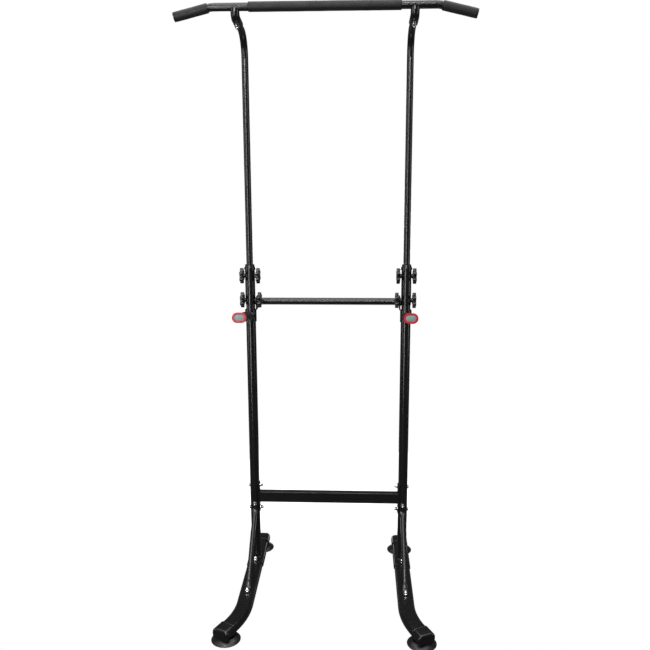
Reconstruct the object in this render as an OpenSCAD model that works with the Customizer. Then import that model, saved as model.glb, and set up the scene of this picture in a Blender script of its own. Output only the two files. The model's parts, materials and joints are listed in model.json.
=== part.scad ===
// Power tower: a free-standing pull-up and dip frame on two rails with four suction feet.
// Millimetres, +Z up, floor at z = 0, front towards -Y, left and right mirrored about x = 0.

/* [Tower] */
// half the distance between the two posts
post_x = 300; // [200:1:400]
// distance of the post plane behind the middle of the footprint
post_y = 165.5; // [80:0.1:200]
// outer diameter of the lower post and the clamp sleeve
post_d = 38; // [30:0.5:50]
// wall of the lower post and the clamp sleeve
post_wall = 1.8; // [1:0.1:3]
// height of the top of the lower post
post_top = 1093; // [880:1:1280]

/* [Telescopic part] */
// outer diameter of the upper post
upper_d = 25; // [20:0.5:32]
// wall of the upper post
upper_wall = 1.5; // [1:0.1:3]
// height of the lower end of the upper post
upper_low = 1014; // [1010:1:1080]
// centreline radius of the forward bend of the upper post
upper_bend = 90; // [60:1:160]
// height at which the upper post starts to bend forwards
upper_top = 2017.5; // [1880:0.5:2080]
// rise of the forward end of the upper post, degrees
upper_tilt = 8; // [0:1:20]
// distance between two height settings
hole_pitch = 47; // [30:1:80]
// number of setting holes
hole_count = 10; // [4:1:14]
// diameter of the setting holes
hole_d = 9; // [6:0.5:11]
// height of the bottom of the clamp sleeve
sleeve_low = 1113; // [1094:1:1120]
// height of the top of the clamp sleeve
sleeve_top = 1248; // [1240:1:1280]

/* [Pull-up bar] */
// height of the bar axis
bar_z = 2156; // [1980:1:2280]
// distance of the bar axis in front of the post plane
bar_reach = 206; // [120:1:260]
// outer diameter of the bar
bar_d = 27; // [22:0.5:34]
// wall of the bar
bar_wall = 2; // [1:0.1:3]
// half length of the straight middle of the bar
bar_half = 370; // [340:1:420]
// centreline radius of the bend at each end of the bar
bar_bend = 80; // [60:1:160]
// droop of the bar ends, degrees
bar_droop = 13.5; // [0:0.5:30]
// length of the straight drooping end
bar_end = 118; // [80:1:160]
// outer diameter of the foam on the bar
foam_d = 33; // [30:0.5:45]
// length of the middle foam
foam_mid = 511; // [300:1:540]
// length of the foam on each end
foam_end = 116; // [80:1:118]
// outer diameter of the leg that joins bar and post
leg_d = 30; // [27:0.5:36]
// centreline radius of the elbow in the leg
leg_bend = 22; // [18:1:40]
// length of the socket of the leg
leg_socket = 58; // [40:1:80]

/* [Dip arms] */
// length of the arm from the post plane to the tip
arm_reach = 292; // [200:1:350]
// height of the arm axis at the post plane
arm_z = 1067; // [1050:1:1080]
// rise of the arm towards its tip, degrees
arm_tilt = 9.5; // [0:0.5:15]
// diameter of the arm tube
arm_d = 25; // [20:0.5:30]
// width of the oval grip
grip_w = 51; // [40:0.5:60]
// height of the oval grip
grip_h = 37; // [30:0.5:45]
// length of the grip
grip_len = 172; // [120:1:200]

/* [Base] */
// width of the flat-sided oval rail
rail_w = 61; // [40:1:80]
// height of the rail section
rail_h = 34; // [25:1:50]
// corner radius of the rail section
rail_r = 14; // [5:0.5:16]
// wall of the rail
rail_wall = 2; // [1:0.1:3]
// height of the underside of the rail
rail_low = 18; // [16:1:40]
// rear end of the rail behind the post plane
rail_rear = 196; // [150:1:260]
// straight length of the rail in front of the post plane
rail_front = 330; // [300:1:420]
// centreline radius of the outward bend of the rail
rail_bend = 340; // [150:1:400]
// outward turn of the front of the rail, degrees
rail_turn = 25.7; // [0:0.1:45]
// straight length after the bend
rail_tip = 56; // [40:1:100]
// extra thickness of the end covers around the rail
cover_wall = 3.5; // [2:0.1:5]
// length of the rear end cover
cover_rear = 63; // [40:1:90]
// length of the front end cover
cover_front = 52; // [35:1:60]
// radius of a suction foot on the floor
foot_r = 52; // [40:1:65]
// distance of the front feet from the end of the bend
foot_along = 24; // [10:1:50]
// distance of the rear feet behind the post plane
foot_rear = 168; // [150:1:200]

/* [Crossbeam and braces] */
// height of the middle of the crossbeam
beam_z = 319; // [230:1:430]
// height of the crossbeam section
beam_h = 43; // [30:1:60]
// depth of the crossbeam section
beam_d = 25; // [20:1:40]
// height of the upper pair of crossbeam bolts
beam_bolt_hi = 367; // [350:1:375]
// height of the lower pair of crossbeam bolts
beam_bolt_lo = 270; // [260:1:280]
// distance of the lower brace bolt in front of the post plane
brace_reach = 276; // [200:1:320]
// height of the upper brace bolt
brace_z = 293; // [285:1:310]
// diameter of the brace tube
brace_d = 18; // [16:0.5:26]
// distance of the upper crossbar behind the post plane
bar2_y = 60; // [56:1:80]
// height of the upper crossbar
bar2_z = 1115; // [1100:1:1130]
// diameter of the upper crossbar
bar2_d = 27.5; // [20:0.5:30]

/* [Knobs] */
// outer diameter of a knob
knob_d = 60; // [50:1:70]
// thickness of the lobed part of a knob
knob_t = 13; // [8:0.5:16]
// number of lobes on a knob
knob_lobes = 6; // [5:1:8]
// height of the upper pair of knobs
knob_hi = 1224; // [1210:1:1230]
// height of the lower pair of knobs
knob_lo = 1130; // [1125:1:1140]
// diameter of the bolts and studs
stud_d = 8; // [6:0.5:10]

/* [Hidden] */
$fn = 72;
eps = 0.05;
fit = 0.05;
post_id = post_d - 2 * post_wall;
joint_id = post_id - 4;
rail_mid = rail_low + rail_h / 2;
rail_top = rail_low + rail_h;
saddle_t = 3;
saddle_len = 104;
saddle_bolt_y = 36;
cover_low = rail_low - cover_wall;
stud_low = 10.5;
plate_t = 4;
boss_out = post_d / 2 + 2.5;
tab_t = 4;
knob_gap = 0.2;
beam_lug_r = post_d / 2 + 3;
tab_x = post_x - boss_out - tab_t / 2;
crossbar_bend = 26;
nut_h = 13;
turn = 90 - upper_tilt;
bar_y = -bar_reach;
forward_run = (bar_reach - (upper_bend + leg_bend) * (1 - cos(turn))) / cos(upper_tilt);
forward_rise = upper_bend * sin(turn) + forward_run * sin(upper_tilt);
leg_rise = bar_z - 4 - upper_top - forward_rise - leg_bend * sin(turn);
upper_run = upper_top - upper_low;
swage = 0.2;
lap = 0.3;
bend_x = rail_bend * (1 - cos(rail_turn));
bend_y = rail_bend * sin(rail_turn);
arm_len = arm_reach / cos(arm_tilt);
black = [0.07, 0.07, 0.075];
plastic = [0.10, 0.10, 0.10];
chrome = [0.80, 0.81, 0.83];
rubber = [0.13, 0.13, 0.14];
foam = [0.16, 0.15, 0.16];

// ---- placing helpers ----

// draws the right-hand part as it is, or mirrored for the left (s = -1)
module side(s) {
  if (s > 0)
    translate([0, post_y, 0])
      children();
  else
    translate([0, post_y, 0])
      mirror([1, 0, 0])
        children();
}

// turns a drawing in the xy plane so that x runs along Y and y runs along Z
module upright_yz() {
  rotate([90, 0, 90])
    children();
}

// ---- shared sections and fasteners ----

// rounded rectangle w by h with corner radius r, centred
module rounded(w, h, r) {
  union() {
    square([w - 2 * r, h], center = true);
    square([w, h - 2 * r], center = true);
    for (i = [-1, 1])
      for (j = [-1, 1])
        translate([i * (w / 2 - r), j * (h / 2 - r)])
          circle(r = r);
  }
}

// rail section grown by g on every side
module rail_section(g) {
  rounded(rail_w + 2 * g, rail_h + 2 * g, rail_r + g);
}

// flat-sided oval w by h
module oval(w, h) {
  union() {
    square([w - h, h], center = true);
    for (i = [-1, 1])
      translate([i * (w - h) / 2, 0])
        circle(d = h);
  }
}

module tube(d, id, h) {
  difference() {
    cylinder(d = d, h = h);
    translate([0, 0, -1])
      cylinder(d = id, h = h + 2);
  }
}

// hexagon prism, across flats w
module hex(w, h) {
  cylinder(d = w / cos(30), h = h, $fn = 6);
}

// domed cap nut standing on z = 0 with its washer
module cap_nut() {
  difference() {
    union() {
      cylinder(d = 17, h = 1.4);
      translate([0, 0, 1.4])
        hex(13, 5.6);
      translate([0, 0, 7])
        cylinder(d = 12, h = 1.5);
      intersection() {
        translate([0, 0, 6.5])
          sphere(d = 12);
        translate([0, 0, 8.5])
          cylinder(d = 14, h = nut_h);
      }
    }
    translate([0, 0, -1])
      cylinder(d = stud_d, h = 7);
  }
}

// round-headed bolt: head below z = 0, shank of length l above
module bolt(l) {
  cylinder(d = stud_d, h = l);
  difference() {
    translate([0, 0, -5])
      cylinder(d1 = 11, d2 = 15, h = 5);
    translate([0, 0, -6])
      hex(5, 3.5);
  }
}

// ---- base ----

// sweeps a section along the straight end of the rail, from a to b beyond the bend
module rail_tip_sweep(g, a, b) {
  translate([post_x + bend_x, -rail_front - bend_y, rail_mid])
    rotate([0, 0, rail_turn])
      translate([0, -a, 0])
        rotate([90, 0, 0])
          linear_extrude(height = b - a)
            rail_section(g);
}

// whole rail as a solid, grown by g and longer by over at both ends
module rail_body(g, over = 0) {
  translate([post_x, rail_rear + over, rail_mid])
    rotate([90, 0, 0])
      linear_extrude(height = rail_rear + rail_front + over)
        rail_section(g);
  translate([post_x + rail_bend, -rail_front, rail_mid])
    rotate([0, 0, 180])
      rotate_extrude(angle = rail_turn)
        translate([rail_bend, 0])
          rail_section(g);
  rail_tip_sweep(g - swage / 2, -lap, rail_tip + over);
}

// bolt holes through the rail, top and bottom
module rail_holes(d) {
  for (y = [-saddle_bolt_y, saddle_bolt_y, -brace_reach])
    translate([post_x, y, cover_low - 5])
      cylinder(d = d, h = rail_h + 30);
}

// places children at a foot position, 0 = front, 1 = rear
module at_foot(k) {
  if (k == 0)
    translate([post_x + bend_x, -rail_front - bend_y, 0])
      rotate([0, 0, rail_turn])
        translate([0, -foot_along, 0])
          children();
  else
    translate([post_x, foot_rear, 0])
      children();
}

module rail(s) {
  color(black)
    side(s)
      difference() {
        rail_body(0);
        rail_body(-rail_wall, 1);
        rail_holes(stud_d);
        for (k = [0, 1])
          at_foot(k)
            translate([0, 0, rail_low - 1])
              cylinder(d = stud_d, h = 5);
      }
}

module rear_cover(s) {
  color(plastic)
    side(s)
      difference() {
        translate([post_x, rail_rear + 4, rail_mid])
          rotate([90, 0, 0])
            linear_extrude(height = cover_rear)
              rail_section(cover_wall);
        translate([post_x, rail_rear, rail_mid])
          rotate([90, 0, 0])
            linear_extrude(height = cover_rear)
              rail_section(0);
        at_foot(1)
          cylinder(d = stud_d, h = rail_low + 1);
      }
}

module front_cover(s) {
  color(plastic)
    side(s)
      difference() {
        rail_tip_sweep(cover_wall, rail_tip + 4 - cover_front, rail_tip + 4);
        rail_tip_sweep(0, 0, rail_tip);
        at_foot(0)
          cylinder(d = stud_d, h = rail_low + 1);
      }
}

// suction foot: dished underside, flared skirt and a low dome under the end cover
module foot_shape() {
  cup_in = foot_r - 8;
  cup_deep = 7;
  cup_sphere = (cup_in * cup_in + cup_deep * cup_deep) / (2 * cup_deep);
  difference() {
    union() {
      cylinder(r = foot_r, h = 2.5);
      translate([0, 0, 2.5])
        cylinder(r1 = foot_r, r2 = foot_r - 6, h = 4);
      translate([0, 0, 6.5])
        cylinder(r1 = foot_r - 6, r2 = 32, h = cover_low - 6.5);
    }
    translate([0, 0, cup_deep - cup_sphere])
      sphere(r = cup_sphere);
    translate([0, 0, stud_low])
      cylinder(d = stud_d, h = 30);
  }
}

module suction_foot(s, k) {
  color(rubber)
    side(s)
      at_foot(k)
        foot_shape();
}

module foot_studs() {
  color(chrome)
    for (s = [-1, 1])
      side(s)
        for (k = [0, 1])
          at_foot(k) {
            translate([0, 0, stud_low])
              cylinder(d = stud_d, h = rail_low + 12 - stud_low);
            translate([0, 0, rail_low + rail_wall + swage])
              hex(13, 6);
          }
}

// plate that wraps over the rail and carries the post
module saddle(s) {
  color(black)
    side(s)
      difference() {
        translate([post_x, saddle_len / 2, rail_mid])
          rotate([90, 0, 0])
            linear_extrude(height = saddle_len)
              intersection() {
                rail_section(saddle_t);
                translate([0, rail_h / 2])
                  square([rail_w + 20, rail_h + 6], center = true);
              }
        rail_body(0);
        rail_holes(stud_d);
      }
}

module saddle_bolts() {
  color(chrome)
    for (s = [-1, 1])
      side(s)
        for (y = [-saddle_bolt_y, saddle_bolt_y])
          translate([post_x, y, rail_low])
            bolt(rail_h + saddle_t + 5);
}

module lower_post(s) {
  low = rail_top + saddle_t;
  color(black)
    side(s)
      translate([post_x, 0, 0])
        difference() {
          translate([0, 0, low])
            tube(post_d, post_id, post_top - low);
          for (z = [beam_bolt_lo, beam_bolt_hi])
            translate([-post_d, 0, z])
              rotate([0, 90, 0])
                cylinder(d = stud_d, h = 2 * post_d);
          translate([0, post_d, brace_z])
            rotate([90, 0, 0])
              cylinder(d = stud_d, h = 2 * post_d);
        }
}

// tube with a flat tab at each end, from the front of the post down to the rail
module brace(s) {
  front = -post_d / 2;
  tab_w = 22;
  high = [front - plate_t, brace_z - 34];
  low = [-brace_reach + 40, rail_top + plate_t + 4];
  slope = atan2(high[0] - low[0], high[1] - low[1]);
  run = (high[1] - low[1]) / cos(slope);
  color(black)
    side(s)
      translate([post_x, 0, 0])
        difference() {
          union() {
            translate([0, front, brace_z])
              rotate([90, 0, 0])
                cylinder(d = tab_w, h = plate_t);
            translate([-tab_w / 2, front - plate_t, high[1] - 8])
              cube([tab_w, plate_t, brace_z - high[1] + 8]);
            translate([0, -brace_reach, rail_top])
              cylinder(d = tab_w, h = plate_t);
            translate([-tab_w / 2, -brace_reach, rail_top])
              cube([tab_w, low[0] + brace_reach + 8, plate_t]);
            difference() {
              translate([0, low[0], low[1]])
                rotate([-slope, 0, 0])
                  translate([0, 0, -brace_d])
                    cylinder(d = brace_d, h = run + 2 * brace_d);
              translate([-brace_d, front, 0])
                cube([2 * brace_d, post_d, post_top]);
              translate([-brace_d, -2 * brace_reach, 0])
                cube([2 * brace_d, 2 * brace_reach, rail_top]);
            }
          }
          translate([0, low[0], low[1]])
            rotate([-slope, 0, 0])
              translate([0, 0, -brace_d])
                cylinder(d = brace_d - 3, h = run + 2 * brace_d);
          translate([0, 0, brace_z])
            rotate([90, 0, 0])
              cylinder(d = stud_d, h = post_d);
          translate([0, -brace_reach, rail_low])
            cylinder(d = stud_d, h = rail_h + 10);
        }
}

module brace_bolts() {
  color(chrome)
    for (s = [-1, 1])
      side(s)
        translate([post_x, 0, 0]) {
          translate([0, -post_d / 2 - plate_t, brace_z])
            rotate([-90, 0, 0])
              bolt(post_d + plate_t + 5);
          translate([0, -brace_reach, rail_low])
            bolt(rail_h + plate_t + 5);
        }
}

// curved plate against the inner side of the right post
module beam_lug() {
  translate([post_x, 0, beam_bolt_lo - 15])
    difference() {
      cylinder(r = beam_lug_r, h = beam_bolt_hi - beam_bolt_lo + 28);
      translate([0, 0, -1])
        cylinder(d = post_d, h = beam_bolt_hi - beam_bolt_lo + 30);
      translate([-12.5, -40, -1])
        cube([80, 80, beam_bolt_hi - beam_bolt_lo + 30]);
    }
}

module crossbeam() {
  color(black)
    difference() {
      union() {
        for (s = [-1, 1])
          side(s)
            beam_lug();
        translate([0, post_y, 0])
          difference() {
            translate([-post_x, -beam_d / 2, beam_z - beam_h / 2])
              cube([2 * post_x, beam_d, beam_h]);
            for (s = [-1, 1])
              translate([s * post_x, 0, 0])
                cylinder(r = beam_lug_r - 1, h = beam_z + beam_h);
          }
      }
      translate([-post_x + 30, post_y - beam_d / 2 + 1.5, beam_z - beam_h / 2 + 1.5])
        cube([2 * post_x - 60, beam_d - 3, beam_h - 3]);
      for (s = [-1, 1])
        side(s) {
          for (z = [beam_bolt_lo, beam_bolt_hi])
            translate([post_x - 40, 0, z])
              rotate([0, 90, 0])
                cylinder(d = stud_d, h = 40);
          translate([post_x - 60, 0, beam_z - beam_h])
            cylinder(d = 6, h = beam_h);
        }
    }
}

module crossbeam_bolts() {
  color(chrome)
    for (s = [-1, 1])
      side(s)
        for (z = [beam_bolt_lo, beam_bolt_hi])
          translate([post_x + post_d / 2, 0, z])
            rotate([0, -90, 0])
              bolt(post_d + 3 + 5);
}

// every domed nut on the base: saddles, braces and crossbeam
module cap_nuts() {
  color(chrome)
    for (s = [-1, 1])
      side(s) {
        for (y = [-saddle_bolt_y, saddle_bolt_y])
          translate([post_x, y, rail_top + saddle_t])
            cap_nut();
        translate([post_x, -brace_reach, rail_top + plate_t])
          cap_nut();
        translate([post_x, post_d / 2, brace_z])
          rotate([-90, 0, 0])
            cap_nut();
        for (z = [beam_bolt_lo, beam_bolt_hi])
          translate([post_x - beam_lug_r, 0, z])
            rotate([0, -90, 0])
              cap_nut();
      }
}

// ---- clamp section ----

module joining_tube(s) {
  color(black)
    side(s)
      translate([post_x, 0, 0])
        difference() {
          translate([0, 0, post_top - 75])
            tube(post_id, joint_id, 160);
          translate([-post_d, 0, knob_lo])
            rotate([0, 90, 0])
              cylinder(d = stud_d + 2 * fit, h = 2 * post_d);
        }
}

// sleeve that clamps the upper post, with a threaded boss under each knob
module sleeve(s) {
  color(black)
    side(s)
      translate([post_x, 0, 0])
        difference() {
          union() {
            translate([0, 0, sleeve_low])
              cylinder(d = post_d, h = sleeve_top - sleeve_low);
            for (z = [knob_lo, knob_hi])
              translate([-boss_out, 0, z])
                rotate([0, 90, 0])
                  cylinder(d = 16, h = 2 * boss_out);
          }
          translate([0, 0, sleeve_low - 1])
            cylinder(d = post_id, h = sleeve_top - sleeve_low + 2);
          for (z = [knob_lo, knob_hi])
            translate([-post_d, 0, z])
              rotate([0, 90, 0])
                cylinder(d = stud_d + 2 * fit, h = 2 * post_d);
        }
}

// plastic collar that guides the upper post at the top of the sleeve
module collar(s) {
  color(plastic)
    side(s)
      translate([post_x, 0, 0])
        difference() {
          union() {
            translate([0, 0, sleeve_top - 16])
              cylinder(d = post_id, h = 16);
            translate([0, 0, sleeve_top])
              cylinder(d = post_d + 5, h = 9);
            translate([0, 0, sleeve_top + 9])
              cylinder(d1 = post_d, d2 = post_d - 4, h = 11);
          }
          translate([0, 0, sleeve_top - 17])
            cylinder(d = upper_d + 2 * fit, h = 60);
          translate([-post_d, 0, sleeve_top + 4.5])
            rotate([0, 90, 0])
              cylinder(d = 4, h = post_d - upper_d / 2 - 1);
        }
}

module collar_screws() {
  color(chrome)
    for (s = [-1, 1])
      side(s)
        translate([post_x, 0, sleeve_top + 4.5]) {
          translate([-(post_d + 5) / 2 - 2.5, 0, 0])
            rotate([0, 90, 0])
              cylinder(d = 7, h = 2.4);
          translate([-(post_d + 5) / 2 - 1, 0, 0])
            rotate([0, 90, 0])
              cylinder(d = 4, h = 8);
        }
}

// run of the upper crossbar and its two forward bends, as a solid of diameter d
module crossbar_run(d) {
  half = tab_x - crossbar_bend;
  translate([-half, post_y + bar2_y, bar2_z])
    rotate([0, 90, 0])
      cylinder(d = d, h = 2 * half);
  for (s = [-1, 1])
    side(s)
      translate([half, bar2_y - crossbar_bend, bar2_z])
        rotate_extrude(angle = 90)
          translate([crossbar_bend, 0])
            circle(d = d);
}

// tube behind the sleeves, its plate ends held by the inner lower knobs
module upper_crossbar() {
  color(black)
    difference() {
      union() {
        difference() {
          crossbar_run(bar2_d);
          crossbar_run(bar2_d - 3);
        }
        for (s = [-1, 1])
          side(s)
            translate([tab_x - tab_t / 2, -14, bar2_z - 22])
              cube([tab_t, bar2_y - crossbar_bend + 20, 50]);
      }
      for (s = [-1, 1])
        side(s)
          translate([post_x - 40, 0, knob_lo])
            rotate([0, 90, 0])
              cylinder(d = stud_d + 2 * fit, h = 30);
    }
}

// ---- dip arms ----

// moves a drawing made along +z to the arm axis of the right arm
module on_arm() {
  translate([post_x, 0, arm_z])
    rotate([90 - arm_tilt, 0, 0])
      children();
}

module dip_arm(s) {
  color(black)
    side(s)
      difference() {
        union() {
          translate([post_x, 0, post_top - 47])
            cylinder(d = post_d + 6, h = 47);
          on_arm()
            cylinder(d = arm_d, h = arm_len - 15.5);
          on_arm()
            cylinder(d = arm_d + 7, h = 34);
        }
        translate([post_x, 0, post_top - 60])
          cylinder(d = post_d, h = 80);
        on_arm()
          translate([0, 0, 26])
            cylinder(d = arm_d - 3, h = arm_len);
      }
}

module dip_grip(s) {
  color(foam)
    side(s)
      on_arm()
        translate([0, 0, arm_len - 7 - grip_len])
          difference() {
            linear_extrude(height = grip_len)
              oval(grip_w - 1.5, grip_h - 1.5);
            translate([0, 0, -1])
              cylinder(d = arm_d, h = grip_len - 6);
            translate([0, 0, grip_len - 8])
              linear_extrude(height = 9)
                oval(34, 20);
          }
}

module grip_ring(s) {
  color([0.78, 0.05, 0.10])
    side(s)
      on_arm()
        translate([0, 0, arm_len - 7])
          linear_extrude(height = 7)
            difference() {
              oval(grip_w, grip_h);
              oval(grip_w - 10, grip_h - 10);
            }
}

module grip_insert(s) {
  color([0.50, 0.60, 0.59])
    side(s)
      on_arm() {
        translate([0, 0, arm_len - 7])
          linear_extrude(height = 6)
            oval(grip_w - 10, grip_h - 10);
        translate([0, 0, arm_len - 15])
          linear_extrude(height = 8)
            oval(34, 20);
      }
}

// ---- telescopic frame ----

// frame at the start of the bend: x runs backwards and y up, z runs sideways
module at_bend() {
  translate([0, 0, upper_top])
    upright_yz()
      children();
}

// frame at the end of the bend: +z runs along the forward end of the post
module at_forward() {
  at_bend()
    translate([-upper_bend, 0, 0])
      rotate([0, 0, turn])
        translate([upper_bend, 0, 0])
          rotate([-90, 0, 0])
            children();
}

module upper_post_shape(d) {
  translate([0, 0, upper_top])
    translate([0, 0, -upper_run])
      cylinder(d = d, h = upper_run);
  at_bend()
    translate([-upper_bend, 0, 0])
      rotate_extrude(angle = turn)
        translate([upper_bend, 0])
          circle(d = d);
  at_forward()
    translate([0, 0, -lap])
      cylinder(d = d - 2 * swage, h = forward_run - 3 + lap);
}

// frame of the vertical bolt through the leg and the post end
module at_leg_bolt() {
  at_forward()
    translate([0, 0, forward_run - 24])
      rotate([0, -90, 0])
        children();
}

module upper_post(s) {
  color(black)
    side(s)
      translate([post_x, 0, 0])
        difference() {
          upper_post_shape(upper_d);
          upper_post_shape(upper_d - 2 * upper_wall);
          for (k = [0 : hole_count - 1])
            translate([-upper_d, 0, knob_lo + k * hole_pitch])
              rotate([0, 90, 0])
                cylinder(d = hole_d, h = 2 * upper_d);
          at_leg_bolt()
            translate([0, 0, -upper_d])
              cylinder(d = stud_d, h = 2 * upper_d);
        }
}

// plastic plug that guides the lower end of the upper post
module post_glide(s) {
  color(plastic)
    side(s)
      translate([post_x, 0, upper_low]) {
        translate([0, 0, -8])
          cylinder(d = joint_id - 0.2, h = 8);
        cylinder(d = upper_d - 2 * upper_wall, h = 22);
      }
}

// elbow frame: centre of the elbow bend, in the bend plane
module at_elbow() {
  at_forward()
    translate([0, 0, forward_run])
      rotate([90, 0, 0])
        translate([leg_bend, 0, 0])
          children();
}

// path of the leg as a solid: socket, then elbow and rise of diameter d to the bar
module leg_path(d, socket, tail) {
  at_forward()
    translate([0, 0, forward_run])
      translate([0, 0, -leg_socket - tail])
        cylinder(d = socket, h = leg_socket + tail + lap);
  at_elbow()
    rotate([0, 0, 180 - turn])
      rotate_extrude(angle = turn)
        translate([leg_bend, 0])
          circle(d = d);
  at_elbow()
    rotate([0, 0, 180 - turn])
      translate([leg_bend, 0, 0])
        rotate([90, 0, 0])
          cylinder(d = d, h = leg_rise + tail);
}

module bar_leg(s) {
  color(black)
    side(s)
      translate([post_x, 0, 0])
        difference() {
          leg_path(leg_d, leg_d + 1, 0);
          leg_path(upper_d - 2 * swage, upper_d + 2 * fit, 1);
          translate([-leg_d, bar_y, bar_z])
            rotate([0, 90, 0])
              cylinder(d = bar_d + fit, h = 2 * leg_d);
          at_leg_bolt()
            translate([0, 0, -leg_d])
              cylinder(d = stud_d, h = 2 * leg_d);
        }
}

// frame on the drooping end of the bar, a from its start: +z runs outwards
module on_bar_end(a) {
  translate([bar_half, bar_y, bar_z - bar_bend])
    rotate([0, bar_droop, 0])
      translate([0, 0, bar_bend])
        rotate([0, 90, 0])
          translate([0, 0, a])
            children();
}

module bar_solid(d, more) {
  translate([-bar_half - lap, post_y + bar_y, bar_z])
    rotate([0, 90, 0])
      cylinder(d = d, h = 2 * bar_half + 2 * lap);
  for (s = [-1, 1])
    side(s) {
      translate([bar_half, bar_y, bar_z - bar_bend])
        rotate([90, 0, 0])
          rotate([0, 0, 90 - bar_droop])
            rotate_extrude(angle = bar_droop)
              translate([bar_bend, 0])
                circle(d = d - swage);
      on_bar_end(-lap)
        cylinder(d = d, h = bar_end + lap + more);
    }
}

module pull_up_bar() {
  color(black)
    difference() {
      bar_solid(bar_d, 0);
      bar_solid(bar_d - 2 * bar_wall, 1);
    }
}

module middle_foam() {
  color(foam)
    translate([-foam_mid / 2, post_y + bar_y, bar_z])
      rotate([0, 90, 0])
        tube(foam_d, bar_d, foam_mid);
}

module end_foam(s) {
  color(foam)
    side(s)
      on_bar_end(bar_end - foam_end)
        tube(foam_d, bar_d, foam_end);
}

module bar_plug(s) {
  color(plastic)
    side(s)
      on_bar_end(bar_end) {
        cylinder(d = foam_d - 1, h = 3);
        translate([0, 0, -18])
          cylinder(d = bar_d - 2 * bar_wall, h = 18);
      }
}

module leg_bolts() {
  color(chrome)
    for (s = [-1, 1])
      side(s)
        translate([post_x, 0, 0])
          at_leg_bolt()
            translate([0, 0, -(leg_d + 1) / 2])
              bolt(leg_d + 6);
}

module leg_nuts() {
  color(chrome)
    for (s = [-1, 1])
      side(s)
        translate([post_x, 0, 0])
          at_leg_bolt()
            translate([0, 0, (leg_d + 1) / 2])
              cap_nut();
}

// ---- knobs ----

// lobed knob with its clamp stud, drawn along +z from its seat
module knob_shape(seat) {
  lobe_r = 7.5;
  lobe_at = knob_d / 2 - lobe_r;
  cylinder(d = 20, h = 3.5);
  translate([0, 0, 3.4])
    cylinder(r = lobe_at - 2, h = knob_t - 2.4);
  for (k = [0 : knob_lobes - 1])
    rotate([0, 0, k * 360 / knob_lobes])
      translate([lobe_at, 0, 3])
        cylinder(r = lobe_r, h = knob_t);
  translate([0, 0, 3.2])
    cylinder(d = 22, h = knob_t + 0.8);
  translate([0, 0, upper_d / 2 + 0.3 - seat])
    cylinder(d = stud_d, h = seat - upper_d / 2);
}

// side of the tower s, outer (1) or inner (-1) face, height z
module knob(s, face, z) {
  seat = boss_out + knob_gap + ((face < 0 && z == knob_lo) ? tab_t : 0);
  color(plastic)
    side(s)
      translate([post_x + face * seat, 0, z])
        rotate([0, face * 90, 0])
          knob_shape(seat);
}

rail(-1);  // rail_left
rail(1);  // rail_right
rear_cover(-1);  // rear_cover_left
rear_cover(1);  // rear_cover_right
front_cover(-1);  // front_cover_left
front_cover(1);  // front_cover_right
suction_foot(-1, 0);  // suction_foot_front_left
suction_foot(1, 0);  // suction_foot_front_right
suction_foot(-1, 1);  // suction_foot_rear_left
suction_foot(1, 1);  // suction_foot_rear_right
foot_studs();
saddle(-1);  // saddle_left
saddle(1);  // saddle_right
saddle_bolts();
lower_post(-1);  // lower_post_left
lower_post(1);  // lower_post_right
brace(-1);  // brace_left
brace(1);  // brace_right
brace_bolts();
crossbeam();
crossbeam_bolts();
cap_nuts();
joining_tube(-1);  // joining_tube_left
joining_tube(1);  // joining_tube_right
sleeve(-1);  // sleeve_left
sleeve(1);  // sleeve_right
collar(-1);  // collar_left
collar(1);  // collar_right
collar_screws();
upper_crossbar();
dip_arm(-1);  // dip_arm_left
dip_arm(1);  // dip_arm_right
dip_grip(-1);  // dip_grip_left
dip_grip(1);  // dip_grip_right
grip_ring(-1);  // grip_ring_left
grip_ring(1);  // grip_ring_right
grip_insert(-1);  // grip_insert_left
grip_insert(1);  // grip_insert_right
upper_post(-1);  // upper_post_left
upper_post(1);  // upper_post_right
post_glide(-1);  // post_glide_left
post_glide(1);  // post_glide_right
bar_leg(-1);  // bar_leg_left
bar_leg(1);  // bar_leg_right
pull_up_bar();
middle_foam();
end_foam(-1);  // end_foam_left
end_foam(1);  // end_foam_right
bar_plug(-1);  // bar_plug_left
bar_plug(1);  // bar_plug_right
leg_bolts();
leg_nuts();
knob(-1, 1, knob_hi);  // knob_left_outer_upper
knob(-1, 1, knob_lo);  // knob_left_outer_lower
knob(-1, -1, knob_hi);  // knob_left_inner_upper
knob(-1, -1, knob_lo);  // knob_left_inner_lower
knob(1, 1, knob_hi);  // knob_right_outer_upper
knob(1, 1, knob_lo);  // knob_right_outer_lower
knob(1, -1, knob_hi);  // knob_right_inner_upper
knob(1, -1, knob_lo);  // knob_right_inner_lower
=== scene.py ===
"""Looks of the power tower: finishes of the frame, and new foam, grips, knobs, covers, braces and feet."""

import json
import math

import bpy
from mathutils import Matrix, Vector


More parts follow.
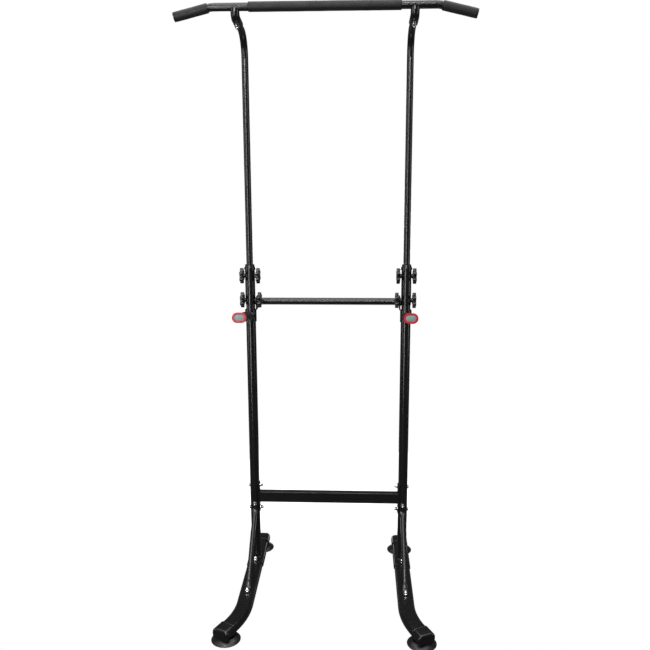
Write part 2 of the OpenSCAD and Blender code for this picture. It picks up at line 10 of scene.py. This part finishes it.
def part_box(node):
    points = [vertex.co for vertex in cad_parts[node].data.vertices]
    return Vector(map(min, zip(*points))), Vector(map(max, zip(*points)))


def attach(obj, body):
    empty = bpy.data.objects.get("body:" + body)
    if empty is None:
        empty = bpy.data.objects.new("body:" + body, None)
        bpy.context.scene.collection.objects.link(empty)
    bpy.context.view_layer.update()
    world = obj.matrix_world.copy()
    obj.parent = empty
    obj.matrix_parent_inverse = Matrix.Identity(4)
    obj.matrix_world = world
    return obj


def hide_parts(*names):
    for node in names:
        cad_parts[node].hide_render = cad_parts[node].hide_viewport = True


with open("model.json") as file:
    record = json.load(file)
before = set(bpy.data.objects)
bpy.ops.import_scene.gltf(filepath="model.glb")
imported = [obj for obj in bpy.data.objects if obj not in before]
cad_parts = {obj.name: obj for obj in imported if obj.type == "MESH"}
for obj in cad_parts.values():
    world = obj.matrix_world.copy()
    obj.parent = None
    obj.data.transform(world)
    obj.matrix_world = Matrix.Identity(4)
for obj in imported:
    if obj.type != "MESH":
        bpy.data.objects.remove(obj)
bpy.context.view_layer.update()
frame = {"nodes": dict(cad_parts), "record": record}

# ---- sizes, in metres, the same as the frame's ----
POST_X = 0.300
POST_R = 0.019
BAR_R = 0.0135
FOAM_R = 0.0165
END_FOAM_LONG = 0.1155
FOAM_ROUND, FOAM_WAVE = 0.0022, 0.0007
ARM_TILT = math.radians(9.5)
BAR_DROOP = math.radians(13.5)
RAIL_TURN = math.radians(25.7)
RAIL_TOP = 0.052
SADDLE_TOP = 0.055
COVER_W, COVER_H, COVER_CORNER = 0.068, 0.041, 0.0175
COVER_WALL = 0.0034
COVER_ROUND = 0.0075
COVER_BEAD = 0.0006
FRONT_COVER_LONG = 0.052
GRIP_W, GRIP_LONG, GRIP_H, GRIP_CORNER = 0.0495, 0.172, 0.0355, 0.0172
GRIP_RIBS, RIB_PITCH, RIB_GROOVE = 9, 0.0175, 0.003
RIM_W, RIM_LONG, RIM_H, RIM_WALL = 0.051, 0.007, 0.037, 0.0074
PAD_W, PAD_LONG, PAD_H, PAD_SUNK = 0.0366, 0.006, 0.0226, 0.0006
KNOB_R, KNOB_T, KNOB_FOOT, KNOB_LONG = 0.030, 0.013, 0.003, 0.017
KNOB_LOBES, KNOB_LOBE_R, KNOB_VALLEY_R = 6, 0.0075, 0.0208
KNOB_RIM, KNOB_STEP, KNOB_DISH, KNOB_ROUND = 0.0030, 0.0012, 0.0016, 0.0014
SCREW_R = 0.004
BRACE_R, BRACE_REACH, BRACE_Z = 0.009, 0.276, 0.293
TAB_W, TAB_T, TAB_LOW, TAB_HIGH = 0.022, 0.004, 0.024, 0.030
PINCH = 0.024
WELD_R = 0.0026
POST_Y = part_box("lower_post_right")[0].y + POST_R
SIDES = (("left", -1), ("right", 1))


# ---- modelling helpers ----

def only(piece):
    """Makes a piece the one selected and active object."""
    bpy.ops.object.select_all(action="DESELECT")
    piece.select_set(True)
    bpy.context.view_layer.objects.active = piece


def added(name):
    """Names the primitive that was just added."""
    piece = bpy.context.active_object
    piece.name = name
    piece.data.name = name
    return piece


def pick(piece, kind, test):
    """In edit mode, selects the vertices, edges or faces whose place passes the test."""
    bpy.ops.mesh.select_mode(type=kind)
    bpy.ops.mesh.select_all(action="DESELECT")
    bpy.ops.object.mode_set(mode="OBJECT")
    mesh = piece.data
    if kind == "VERT":
        for v in mesh.vertices:
            v.select = test(v.co)
    elif kind == "EDGE":
        for e in mesh.edges:
            e.select = test(*(mesh.vertices[i].co for i in e.vertices))
    else:
        for f in mesh.polygons:
            f.select = test(f.center, f.normal)
    bpy.ops.object.mode_set(mode="EDIT")


def edit(piece):
    only(piece)
    bpy.ops.object.mode_set(mode="EDIT")


def close(piece, angle=35):
    """Leaves edit mode with clean outward normals and smooth shading."""
    bpy.ops.mesh.select_all(action="SELECT")
    bpy.ops.mesh.remove_doubles(threshold=0.00002)
    bpy.ops.mesh.normals_make_consistent(inside=False)
    bpy.ops.object.mode_set(mode="OBJECT")
    only(piece)
    bpy.ops.object.shade_smooth_by_angle(angle=math.radians(angle))


def place(piece, at=(0, 0, 0), turn=None):
    """Moves a piece to its place and leaves the object at the origin."""
    only(piece)
    piece.matrix_world = Matrix.Translation(Vector(at)) @ (turn or Matrix.Identity(4))
    bpy.ops.object.transform_apply(location=True, rotation=True, scale=True)


def copied(piece, name):
    only(piece)
    bpy.ops.object.duplicate()
    return added(name)


def modify(piece, kind, **values):
    """Adds a modifier and applies it."""
    only(piece)
    modifier = piece.modifiers.new(kind.lower(), kind)
    for key, value in values.items():
        setattr(modifier, key, value)
    bpy.ops.object.modifier_apply(modifier=modifier.name)


def merge(piece, others, solid=False):
    """Joins other pieces into one, as one skin if solid."""
    if solid:
        for other in others:
            modify(piece, "BOOLEAN", operation="UNION", object=other, solver="EXACT")
            bpy.data.objects.remove(other)
        return piece
    only(piece)
    for other in others:
        other.select_set(True)
    bpy.ops.object.join()
    return piece


def dress(piece, material, body, slot, *nodes):
    """Gives a piece its finish and body, and hides the frame nodes that it stands for. The slot argument is
    not used.
    """
    piece.data.materials.clear()
    piece.data.materials.append(material)
    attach(piece, body)
    if nodes:
        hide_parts(*nodes)
    return piece


def middle(node):
    low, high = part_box(node)
    return (low + high) / 2


def block(name, w, length, h, corner, segments):
    """Bar along Y with rounded lengthwise edges, centred."""
    bpy.ops.mesh.primitive_cube_add(size=1, scale=(w, length, h))
    piece = added(name)
    bpy.ops.object.transform_apply(location=False, rotation=False, scale=True)
    edit(piece)
    pick(piece, "EDGE", lambda a, b: abs(a.y - b.y) > length / 2)
    bpy.ops.mesh.bevel(offset=corner, segments=segments, clamp_overlap=True)
    return piece


def turned(name, profile, around=64):
    """Lathe: rings of (radius, height) pulled one from the other, closed at both ends."""
    radius, height = profile[0]
    bpy.ops.mesh.primitive_circle_add(vertices=around, radius=radius, location=(0, 0, height),
                                      fill_type="NGON")
    piece = added(name)
    bpy.ops.object.transform_apply(location=True, rotation=False, scale=False)
    edit(piece)
    bpy.ops.mesh.select_all(action="SELECT")
    bpy.ops.mesh.inset(thickness=radius * 0.5)
    bpy.ops.mesh.poke()
    pick(piece, "VERT", lambda v: v.xy.length > radius * 0.99)
    for r, z in profile[1:]:
        bpy.ops.mesh.extrude_region_move(TRANSFORM_OT_translate={"value": (0, 0, z - height)})
        bpy.ops.transform.resize(value=(r / radius, r / radius, 1), center_override=(0, 0, z))
        radius, height = r, z
    bpy.ops.mesh.edge_face_add()
    bpy.ops.mesh.inset(thickness=radius * 0.5)
    bpy.ops.mesh.poke()
    return piece


def loft(name, rings, around=32):
    """Skin over oval rings of (centre, tilt about X, half width, half thickness), bridged one to the next."""
    loops = []
    for centre, tilt, wide, thick in rings:
        bpy.ops.mesh.primitive_circle_add(vertices=around, radius=1, location=centre, rotation=(tilt, 0, 0))
        loops.append(added("ring"))
        loops[-1].scale = (wide, thick, 1)
        bpy.ops.object.transform_apply(location=True, rotation=True, scale=True)
    piece = merge(loops[0], loops[1:])
    piece.name = piece.data.name = name
    edit(piece)
    bpy.ops.mesh.select_mode(type="VERT")
    for k in range(len(rings) - 1):
        bpy.ops.mesh.select_all(action="DESELECT")
        bpy.ops.object.mode_set(mode="OBJECT")
        for v in piece.data.vertices:
            v.select = k * around <= v.index < (k + 2) * around
        bpy.ops.object.mode_set(mode="EDIT")
        bpy.ops.mesh.bridge_edge_loops()
    for first in (0, (len(rings) - 1) * around):
        bpy.ops.mesh.select_all(action="DESELECT")
        bpy.ops.object.mode_set(mode="OBJECT")
        for v in piece.data.vertices:
            v.select = first <= v.index < first + around
        bpy.ops.object.mode_set(mode="EDIT")
        bpy.ops.mesh.edge_face_add()
    return piece


# ---- finishes ----

MOTTLE_SCALE, GLOSS_SCALE, RUB_SCALE = 14, 45, 120


def finish(name, colour, rough, grain, grain_depth, metal=0.0, wear=None, spots=0.15, rough_spread=0.08,
           edge=0.0006, gloss=0.5, cells=False):
    """Finish with colour mottling, uneven gloss, a fine grain, softened edges and, if asked, worn edges."""
    material = bpy.data.materials.new(name)
    material.use_nodes = True
    nodes, links = material.node_tree.nodes, material.node_tree.links
    shader = nodes["Principled BSDF"]
    shader.inputs["Metallic"].default_value = metal
    shader.inputs["Specular IOR Level"].default_value = gloss
    place_on = nodes.new("ShaderNodeTexCoord")

    def noise(scale, detail):
        node = nodes.new("ShaderNodeTexNoise")
        node.inputs["Scale"].default_value = scale
        node.inputs["Detail"].default_value = detail
        links.new(place_on.outputs["Object"], node.inputs["Vector"])
        return node

    def spread(source, low, high):
        node = nodes.new("ShaderNodeMapRange")
        node.inputs["From Min"].default_value = 0.3
        node.inputs["From Max"].default_value = 0.7
        node.inputs["To Min"].default_value = low
        node.inputs["To Max"].default_value = high
        links.new(source, node.inputs["Value"])
        return node

    mottle = noise(MOTTLE_SCALE, 5)
    shade = nodes.new("ShaderNodeMixRGB")
    shade.inputs["Color1"].default_value = (*[c * (1 - spots) for c in colour], 1)
    shade.inputs["Color2"].default_value = (*[min(1, c * (1 + spots)) for c in colour], 1)
    links.new(spread(mottle.outputs["Fac"], 0, 1).outputs["Result"], shade.inputs["Fac"])
    tint = shade.outputs["Color"]

    soft = nodes.new("ShaderNodeBevel")
    soft.samples = 6
    soft.inputs["Radius"].default_value = edge
    if wear:
        surface = nodes.new("ShaderNodeNewGeometry")
        turn = nodes.new("ShaderNodeVectorMath")
        turn.operation = "DOT_PRODUCT"
        links.new(soft.outputs["Normal"], turn.inputs[0])
        links.new(surface.outputs["Normal"], turn.inputs[1])
        rub = nodes.new("ShaderNodeMapRange")
        rub.inputs["From Min"].default_value = 0.97
        rub.inputs["From Max"].default_value = 0.80
        links.new(turn.outputs["Value"], rub.inputs["Value"])
        patchy = nodes.new("ShaderNodeMath")
        patchy.operation = "MULTIPLY"
        links.new(rub.outputs["Result"], patchy.inputs[0])
        rubbed = spread(noise(RUB_SCALE, 4).outputs["Fac"], 0.0, 0.6)
        links.new(rubbed.outputs["Result"], patchy.inputs[1])
        worn = nodes.new("ShaderNodeMixRGB")
        worn.inputs["Color2"].default_value = (*wear, 1)
        links.new(patchy.outputs["Value"], worn.inputs["Fac"])
        links.new(tint, worn.inputs["Color1"])
        tint = worn.outputs["Color"]
    links.new(tint, shader.inputs["Base Color"])

    uneven = spread(noise(GLOSS_SCALE, 6).outputs["Fac"], rough - rough_spread, rough + rough_spread)
    links.new(uneven.outputs["Result"], shader.inputs["Roughness"])

    if cells:
        fine = nodes.new("ShaderNodeTexVoronoi")
        fine.inputs["Scale"].default_value = grain
        links.new(place_on.outputs["Object"], fine.inputs["Vector"])
        height = fine.outputs["Distance"]
    else:
        height = noise(grain, 3).outputs["Fac"]
    bump = nodes.new("ShaderNodeBump")
    bump.inputs["Strength"].default_value = 1.0
    bump.inputs["Distance"].default_value = grain_depth
    links.new(height, bump.inputs["Height"])
    links.new(soft.outputs["Normal"], bump.inputs["Normal"])
    links.new(bump.outputs["Normal"], shader.inputs["Normal"])
    return material


BLACK = (0.0045, 0.0045, 0.0048)
powder_coat = finish("black_powder_coat", BLACK, 0.21, 900, 0.000005, wear=(0.03, 0.03, 0.03),
                     rough_spread=0.03, edge=0.0014, gloss=0.45)
rolled_edge_coat = finish("black_coat_on_rolled_edges", BLACK, 0.20, 900, 0.000005,
                          rough_spread=0.03, edge=0.0045, gloss=0.5)
moulded_plastic = finish("moulded_black_plastic", BLACK, 0.25, 1500, 0.00001,
                         rough_spread=0.04, edge=0.0008, gloss=0.4)
rubber = finish("foot_rubber", (0.006, 0.006, 0.0065), 0.36, 500, 0.00003, spots=0.25, gloss=0.45)
foam = finish("grip_foam", (0.0055, 0.0042, 0.0046), 0.52, 1300, 0.00008, spots=0.2, gloss=0.3, cells=True)
plating = finish("bright_plating", (0.90, 0.91, 0.93), 0.17, 700, 0.00001, metal=1.0, spots=0.06, edge=0.0005)
red_plastic = finish("red_gloss_plastic", (0.34, 0.003, 0.012), 0.34, 600, 0.00001, spots=0.06, gloss=0.3)
grey_plastic = finish("grey_textured_plastic", (0.13, 0.19, 0.18), 0.48, 1400, 0.00004,
                      spots=0.08, cells=True)

SLOT_FINISH = {
    "black_steel": powder_coat,
    "black_plastic": moulded_plastic,
    "black_rubber": rubber,
    "foam": foam,
    "bright_metal": plating,
    "red_plastic": red_plastic,
    "grey_plastic": grey_plastic,
}
for row in frame["record"]["subparts"]:
    slots = frame["nodes"][row["node"]].data.materials
    slots.clear()
    slots.append(rolled_edge_coat if row["node"] == "crossbeam" else SLOT_FINISH[row["material_slot"]])


# ---- foam sleeves on the pull-up bar ----

def foam_sleeve(name, node, length, droop, segments):
    """Closed-cell foam tube with soft rims and the slight waviness of foam slid on a bar."""
    bpy.ops.mesh.primitive_cylinder_add(vertices=56, radius=FOAM_R, depth=length)
    piece = added(name)
    edit(piece)
    pick(piece, "FACE", lambda c, n: abs(n.z) > 0.9)
    bpy.ops.mesh.inset(thickness=FOAM_R - BAR_R - 0.0001)
    bpy.ops.mesh.bridge_edge_loops()
    pick(piece, "EDGE", lambda a, b: a.xy.length > FOAM_R * 0.99 and b.xy.length > FOAM_R * 0.99
         and abs(a.z - b.z) < 0.001)
    bpy.ops.mesh.bevel(offset=FOAM_ROUND, segments=4)
    pick(piece, "EDGE", lambda a, b: abs(a.z - b.z) > length / 2)
    bpy.ops.mesh.subdivide(number_cuts=segments)
    close(piece, 50)
    waves = bpy.data.textures.new(name + "_waves", "CLOUDS")
    waves.noise_scale = 0.035
    modify(piece, "DISPLACE", texture=waves, strength=FOAM_WAVE, mid_level=0.5)
    place(piece, middle(node), Matrix.Rotation(math.pi / 2 + droop, 4, "Y"))
    dress(piece, foam, "upper_frame", "foam", node)
    return piece


low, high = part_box("middle_foam")
foam_sleeve("middle_foam_sleeve", "middle_foam", high.x - low.x, 0, 60)
for side, s in SIDES:
    foam_sleeve(f"end_foam_sleeve_{side}", f"end_foam_{side}", END_FOAM_LONG, s * BAR_DROOP, 14)


# ---- dip grips: ribbed foam body, red rim and grey end pad ----

def dip_grip(side):
    """Grip on the end of a dip arm, in line with the arm, its tip towards the front."""
    arm = Matrix.Rotation(math.pi - ARM_TILT, 4, "X")
    body = block(f"dip_grip_body_{side}", GRIP_W, GRIP_LONG, GRIP_H, GRIP_CORNER, 10)
    for k in range(GRIP_RIBS):
        at = (k - (GRIP_RIBS - 1) / 2) * RIB_PITCH
        bpy.ops.mesh.select_all(action="SELECT")
        bpy.ops.mesh.bisect(plane_co=(0, at, 0), plane_no=(0, 1, 0))
        bpy.ops.mesh.select_all(action="SELECT")
        bpy.ops.mesh.bisect(plane_co=(0, at + RIB_GROOVE, 0), plane_no=(0, 1, 0))
        pick(body, "VERT", lambda v: at - 0.0001 < v.y < at + RIB_GROOVE + 0.0001)
        bpy.ops.transform.resize(value=(0.965, 1, 0.955))
    pick(body, "EDGE", lambda a, b: min(abs(a.y), abs(b.y)) > GRIP_LONG / 2 - 0.0001)
    bpy.ops.mesh.bevel(offset=0.002, segments=3)
    close(body, 40)
    place(body, middle(f"dip_grip_{side}"), arm)
    dress(body, foam, "base", "foam", f"dip_grip_{side}")

    rim = block(f"dip_grip_rim_{side}", RIM_W, RIM_LONG, RIM_H, RIM_H / 2 - 0.0001, 12)
    pick(rim, "FACE", lambda c, n: abs(n.y) > 0.9)
    bpy.ops.mesh.inset(thickness=RIM_WALL)
    bpy.ops.mesh.bridge_edge_loops()
    close(rim)
    modify(rim, "BEVEL", width=0.0016, segments=4, limit_method="ANGLE", angle_limit=math.radians(50))
    only(rim)
    bpy.ops.object.shade_smooth_by_angle(angle=math.radians(50))
    place(rim, middle(f"grip_ring_{side}"), arm)
    dress(rim, red_plastic, "base", "red_plastic", f"grip_ring_{side}")

    pad = block(f"dip_grip_pad_{side}", PAD_W, PAD_LONG, PAD_H, PAD_H / 2 - 0.0001, 12)
    pick(pad, "FACE", lambda c, n: n.y > 0.9)
    bpy.ops.mesh.inset(thickness=0.003)
    bpy.ops.transform.translate(value=(0, 0.0009, 0))
    bpy.ops.mesh.inset(thickness=0.004)
    bpy.ops.transform.translate(value=(0, 0.0004, 0))
    close(pad, 40)
    out = Vector((0, -math.cos(ARM_TILT), math.sin(ARM_TILT)))
    place(pad, middle(f"grip_ring_{side}") - out * PAD_SUNK, arm)
    dress(pad, grey_plastic, "base", "grey_plastic", f"grip_insert_{side}")


for side, s in SIDES:
    dip_grip(side)


# ---- lobed clamping knobs ----

HUB_PROFILE = [
    (0.0095, 0.0), (0.0100, 0.0006), (0.0100, 0.0050), (0.0112, 0.0054), (0.0112, 0.0150), (0.0106, 0.0162),
    (0.0090, 0.0168), (0.0072, 0.0169),
]


def lobe_reach(offset):
    """Distance from the knob's axis to its rim, offset radians away from the crest of a lobe."""
    out = KNOB_R - KNOB_LOBE_R
    aside = abs(out * math.sin(offset))
    if aside < KNOB_LOBE_R:
        return max(KNOB_VALLEY_R, out * math.cos(offset) + math.sqrt(KNOB_LOBE_R ** 2 - aside ** 2))
    return KNOB_VALLEY_R


def lobed_knob():
    """Knob along +Z from its seat: lobed rim with rounded edges, dished face, hub with cap, collar."""
    around = 96
    bpy.ops.mesh.primitive_cylinder_add(vertices=around, radius=KNOB_R, depth=KNOB_T,
                                        location=(0, 0, KNOB_FOOT + KNOB_T / 2))
    knob = added("knob_pattern")
    bpy.ops.object.transform_apply(location=True, rotation=False, scale=False)
    edit(knob)
    pitch = 2 * math.pi / KNOB_LOBES
    steps = around // KNOB_LOBES
    for k in range(steps // 2 + 1):
        wanted = k * 2 * math.pi / around

        def on_step(v):
            angle = math.atan2(v.y, v.x) % pitch
            return abs(min(angle, pitch - angle) - wanted) < 0.001

        pick(knob, "VERT", on_step)
        size = lobe_reach(wanted) / KNOB_R
        bpy.ops.transform.resize(value=(size, size, 1), center_override=(0, 0, 0))
    pick(knob, "FACE", lambda c, n: n.z > 0.9)
    bpy.ops.mesh.inset(thickness=KNOB_RIM)
    bpy.ops.mesh.inset(thickness=KNOB_STEP)
    bpy.ops.transform.translate(value=(0, 0, -KNOB_DISH))
    top = KNOB_FOOT + KNOB_T
    pick(knob, "EDGE", lambda a, b: abs(a.z - b.z) < 1e-5 and min(abs(a.z - KNOB_FOOT), abs(a.z - top)) < 1e-5
         and min(a.xy.length, b.xy.length) > KNOB_VALLEY_R - 0.0003)
    bpy.ops.mesh.bevel(offset=KNOB_ROUND, segments=3)
    close(knob)
    hub = turned("knob_hub", HUB_PROFILE, 48)
    close(hub)
    return merge(knob, [hub], solid=True)


def knob_with_screw(node, away):
    """Copy of the knob at its node, its face turned away from the post, and the screw that it turns."""
    low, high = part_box(node)
    outer, tip = (high.x, low.x) if away > 0 else (low.x, high.x)
    seat = outer - away * KNOB_LONG
    at = Vector((seat, (low.y + high.y) / 2, (low.z + high.z) / 2))
    knob = copied(knob_pattern, f"{node}_moulding")
    place(knob, at, Matrix.Rotation(away * math.pi / 2, 4, "Y"))
    only(knob)
    bpy.ops.object.shade_smooth_by_angle(angle=math.radians(35))
    dress(knob, moulded_plastic, f"{node}_body", "black_plastic", node)

    bpy.ops.mesh.primitive_cylinder_add(vertices=32, radius=SCREW_R, depth=abs(seat - tip) + 0.001,
                                        location=((seat + tip) / 2, at.y, at.z), rotation=(0, math.pi / 2, 0))
    screw = added(f"{node}_screw")
    bpy.ops.object.transform_apply(location=True, rotation=True, scale=True)
    edit(screw)
    pick(screw, "EDGE", lambda a, b: abs(a.x - tip) < 1e-4 and abs(b.x - tip) < 1e-4)
    bpy.ops.mesh.bevel(offset=0.0006, segments=2)
    close(screw)
    dress(screw, plating, f"{node}_body", "bright_metal")


knob_pattern = lobed_knob()
for side, s in SIDES:
    for face, f in (("outer", 1), ("inner", -1)):
        for level in ("upper", "lower"):
            knob_with_screw(f"knob_{side}_{face}_{level}", s * f)
bpy.data.objects.remove(knob_pattern)


# ---- suction feet ----

FOOT_PROFILE = [
    (0.006, 0.0070), (0.018, 0.0062), (0.030, 0.0044), (0.040, 0.0018), (0.0440, 0.0005), (0.0462, 0.0001),
    (0.0510, 0.0000), (0.0519, 0.0007), (0.0520, 0.0020), (0.0513, 0.0029), (0.0495, 0.0036),
    (0.0482, 0.0046), (0.0462, 0.0064), (0.0430, 0.0084), (0.0395, 0.0101), (0.0360, 0.0115),
    (0.0335, 0.0127), (0.0318, 0.0136), (0.0310, 0.0143),
]
foot_pattern = turned("foot_pattern", FOOT_PROFILE, 80)
close(foot_pattern, 40)
for end in ("front", "rear"):
    for side, s in SIDES:
        node = f"suction_foot_{end}_{side}"
        foot = copied(foot_pattern, f"{node}_cup")
        centre = middle(node)
        place(foot, (centre.x, centre.y, 0))
        dress(foot, rubber, "base", "black_rubber", node)
bpy.data.objects.remove(foot_pattern)


# ---- end covers of the rails ----

def end_cover(name, node, length, turn):
    """Moulded cover: closed and well rounded at its +Y end, open at the other, with a bead near the mouth."""
    cover = block(name, COVER_W, length, COVER_H, COVER_CORNER, 10)
    pick(cover, "EDGE", lambda a, b: a.y > length / 2 - 1e-5 and b.y > length / 2 - 1e-5)
    bpy.ops.mesh.bevel(offset=COVER_ROUND, segments=6)
    for at in (-length / 2 + 0.0035, -length / 2 + 0.0045, -length / 2 + 0.0065, -length / 2 + 0.0075):
        bpy.ops.mesh.select_all(action="SELECT")
        bpy.ops.mesh.bisect(plane_co=(0, at, 0), plane_no=(0, 1, 0))
    pick(cover, "VERT", lambda v: -length / 2 + 0.0044 < v.y < -length / 2 + 0.0066)
    bpy.ops.transform.resize(value=(1 - 2 * COVER_BEAD / COVER_W, 1, 1 - 2 * COVER_BEAD / COVER_H))
    pick(cover, "FACE", lambda c, n: n.y < -0.9)
    bpy.ops.mesh.inset(thickness=COVER_WALL)
    bpy.ops.mesh.extrude_region_move(TRANSFORM_OT_translate={"value": (0, length - 0.0042, 0)})
    close(cover, 30)
    place(cover, middle(node), turn)
    return dress(cover, moulded_plastic, "base", "black_plastic", node)


for side, s in SIDES:
    low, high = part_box(f"rear_cover_{side}")
    end_cover(f"rear_end_cover_{side}", f"rear_cover_{side}", high.y - low.y, None)
    end_cover(f"front_end_cover_{side}", f"front_cover_{side}", FRONT_COVER_LONG,
              Matrix.Rotation(math.pi + s * RAIL_TURN, 4, "Z"))


# ---- braces: round tube pinched flat at both ends ----

def brace(side, s):
    """Tube from the post's front down to the rail, with pressed flat ends bent to lie on post and rail."""
    front = POST_Y - POST_R - TAB_T / 2
    high = Vector((s * POST_X, front, BRACE_Z - TAB_HIGH))
    low = Vector((s * POST_X, POST_Y - BRACE_REACH + TAB_LOW, RAIL_TOP + TAB_T / 2))
    run = high - low
    slope = math.atan2(run.y, run.z)
    along = run.normalized()
    tube_low, tube_high = low + along * PINCH, high - along * PINCH
    flat = TAB_T / 2
    w = TAB_W / 2
    rings = [
        (low + Vector((0, -0.0348, 0)), -math.pi / 2, 0.0035, flat * 0.7),
        (low + Vector((0, -0.0332, 0)), -math.pi / 2, 0.0072, flat * 0.9),
        (low + Vector((0, -0.0300, 0)), -math.pi / 2, 0.0097, flat),
        (low + Vector((0, -TAB_LOW, 0)), -math.pi / 2, w, flat),
        (low + Vector((0, -0.0080, 0)), -math.pi / 2, w, flat),
        (low + Vector((0, 0.001, 0.0008)), -math.pi / 2 + slope * 0.5 + 0.5, w * 0.99, flat * 1.15),
        (low + along * 0.009, -slope, w * 0.97, flat * 1.7),
        (low + along * 0.017, -slope, w * 0.91, 0.0063),
        (tube_low, -slope, BRACE_R * 1.02, BRACE_R * 0.96),
        (tube_low + along * 0.006, -slope, BRACE_R, BRACE_R),
        (tube_high - along * 0.006, -slope, BRACE_R, BRACE_R),
        (tube_high, -slope, BRACE_R * 1.02, BRACE_R * 0.96),
        (high - along * 0.017, -slope, w * 0.91, 0.0063),
        (high - along * 0.009, -slope, w * 0.97, flat * 1.7),
        (high, -slope * 0.5, w * 0.99, flat * 1.1),
        (high + Vector((0, 0, 0.010)), 0, w, flat),
        (high + Vector((0, 0, TAB_HIGH)), 0, w, flat),
        (high + Vector((0, 0, 0.0360)), 0, 0.0097, flat),
        (high + Vector((0, 0, 0.0392)), 0, 0.0072, flat * 0.9),
        (high + Vector((0, 0, 0.0408)), 0, 0.0035, flat * 0.7),
    ]
    piece = loft(f"brace_tube_{side}", rings)
    close(piece, 60)
    return dress(piece, powder_coat, "base", "black_steel", f"brace_{side}")


for side, s in SIDES:
    brace(side, s)


# ---- weld beads where the posts stand on their saddles ----

for side, s in SIDES:
    bpy.ops.mesh.primitive_torus_add(major_radius=POST_R + 0.0008, minor_radius=WELD_R, major_segments=120,
                                     minor_segments=10, location=(s * POST_X, POST_Y, SADDLE_TOP + 0.0008))
    bead = added(f"post_weld_{side}")
    bpy.ops.object.transform_apply(location=True, rotation=True, scale=True)
    ripple = bpy.data.textures.new(f"post_weld_ripple_{side}", "CLOUDS")
    ripple.noise_scale = 0.004
    modify(bead, "DISPLACE", texture=ripple, strength=0.0012, mid_level=0.5)
    only(bead)
    bpy.ops.object.shade_smooth()
    dress(bead, powder_coat, "base", "black_steel")


# ---- studio: pale floor, white surroundings, soft lights, camera ----

AIR_ON_TOWER = 0.09
FLOOR_GLOW = 0.35
SOFT_LIGHTS = (
    # name, place, aim, size, watts
    ("overhead_softbox", (0, 0.3, 5.2), (0, 0, 0), (6.0, 6.0), 330),
    ("high_front_strip", (-0.1, -2.5, 4.5), (0, 0, 0.8), (1.8, 0.30), 56),
    ("front_strip", (-0.2, -4.6, 2.8), (0, 0, 1.1), (1.8, 0.35), 60),
    ("left_front_strip", (-1.05, -2.3, 1.6), (-0.3, 0, 1.6), (0.30, 3.1), 48),
    ("left_strip", (-3.4, -0.9, 1.6), (0, 0, 1.4), (0.5, 3.0), 30),
    ("right_strip", (3.4, -0.9, 1.6), (0, 0, 1.4), (0.5, 3.0), 24),
)
CAMERA_AT = (0.1145, -2.7162, 1.6235)
CAMERA_LENS, CAMERA_SENSOR = 41.99, 36
CAMERA_PAN, CAMERA_DIP, CAMERA_ROLL = 0.0438, 0.2023, -0.0039


def pale_floor():
    """Matt, faintly clouded floor with a little light of its own."""
    bpy.ops.mesh.primitive_plane_add(size=1, location=(0, 1.0, 0), scale=(14, 12, 1))
    floor = added("studio_floor")
    bpy.ops.object.transform_apply(location=True, rotation=True, scale=True)
    paint = bpy.data.materials.new("pale_floor")
    paint.use_nodes = True
    nodes, links = paint.node_tree.nodes, paint.node_tree.links
    shader = nodes["Principled BSDF"]
    shader.inputs["Roughness"].default_value = 0.9
    shader.inputs["Specular IOR Level"].default_value = 0.1
    where = nodes.new("ShaderNodeTexCoord")
    cloud = nodes.new("ShaderNodeTexNoise")
    cloud.inputs["Scale"].default_value = 1.5
    links.new(where.outputs["Object"], cloud.inputs["Vector"])
    tone = nodes.new("ShaderNodeMixRGB")
    tone.inputs["Color1"].default_value = (0.88, 0.88, 0.88, 1)
    tone.inputs["Color2"].default_value = (0.90, 0.90, 0.90, 1)
    links.new(cloud.outputs["Fac"], tone.inputs["Fac"])
    links.new(tone.outputs["Color"], shader.inputs["Base Color"])
    shader.inputs["Emission Color"].default_value = (1, 1, 1, 1)
    shader.inputs["Emission Strength"].default_value = FLOOR_GLOW
    floor.data.materials.append(paint)


def white_surroundings():
    """World that is white to the camera, and dim in the light that it gives."""
    world = bpy.data.worlds.new("studio_air")
    bpy.context.scene.world = world
    world.use_nodes = True
    nodes, links = world.node_tree.nodes, world.node_tree.links
    air = nodes["Background"]
    air.inputs["Color"].default_value = (1.0, 1.0, 1.0, 1)
    air.inputs["Strength"].default_value = AIR_ON_TOWER
    wall = nodes.new("ShaderNodeBackground")
    wall.inputs["Color"].default_value = (1.0, 1.0, 1.0, 1)
    wall.inputs["Strength"].default_value = 1.0
    ray = nodes.new("ShaderNodeLightPath")
    seen = nodes.new("ShaderNodeMixShader")
    links.new(ray.outputs["Is Camera Ray"], seen.inputs["Fac"])
    links.new(air.outputs["Background"], seen.inputs[1])
    links.new(wall.outputs["Background"], seen.inputs[2])
    links.new(seen.outputs["Shader"], nodes["World Output"].inputs["Surface"])


def soft_light(name, at, aim, size, power):
    """Rectangular lamp that lights the tower and is not seen itself."""
    bpy.ops.object.light_add(type="AREA", location=at)
    light = bpy.context.active_object
    light.name = name
    light.data.shape = "RECTANGLE"
    light.data.size, light.data.size_y = size
    light.data.energy = power
    light.rotation_euler = (Vector(aim) - Vector(at)).to_track_quat("-Z", "Y").to_euler()
    light.visible_camera = False


pale_floor()
white_surroundings()
for lamp in SOFT_LIGHTS:
    soft_light(*lamp)

bpy.ops.object.camera_add(location=CAMERA_AT)
camera = bpy.context.active_object
camera.data.sensor_width = CAMERA_SENSOR
camera.data.lens = CAMERA_LENS
aim_turn = Matrix.Rotation(CAMERA_PAN, 4, "Z") @ Matrix.Rotation(math.pi / 2 - CAMERA_DIP, 4, "X")
camera.rotation_euler = (aim_turn @ Matrix.Rotation(CAMERA_ROLL, 4, "Z")).to_euler()
bpy.context.scene.camera = camera
bpy.context.scene.view_settings.view_transform = "Standard"
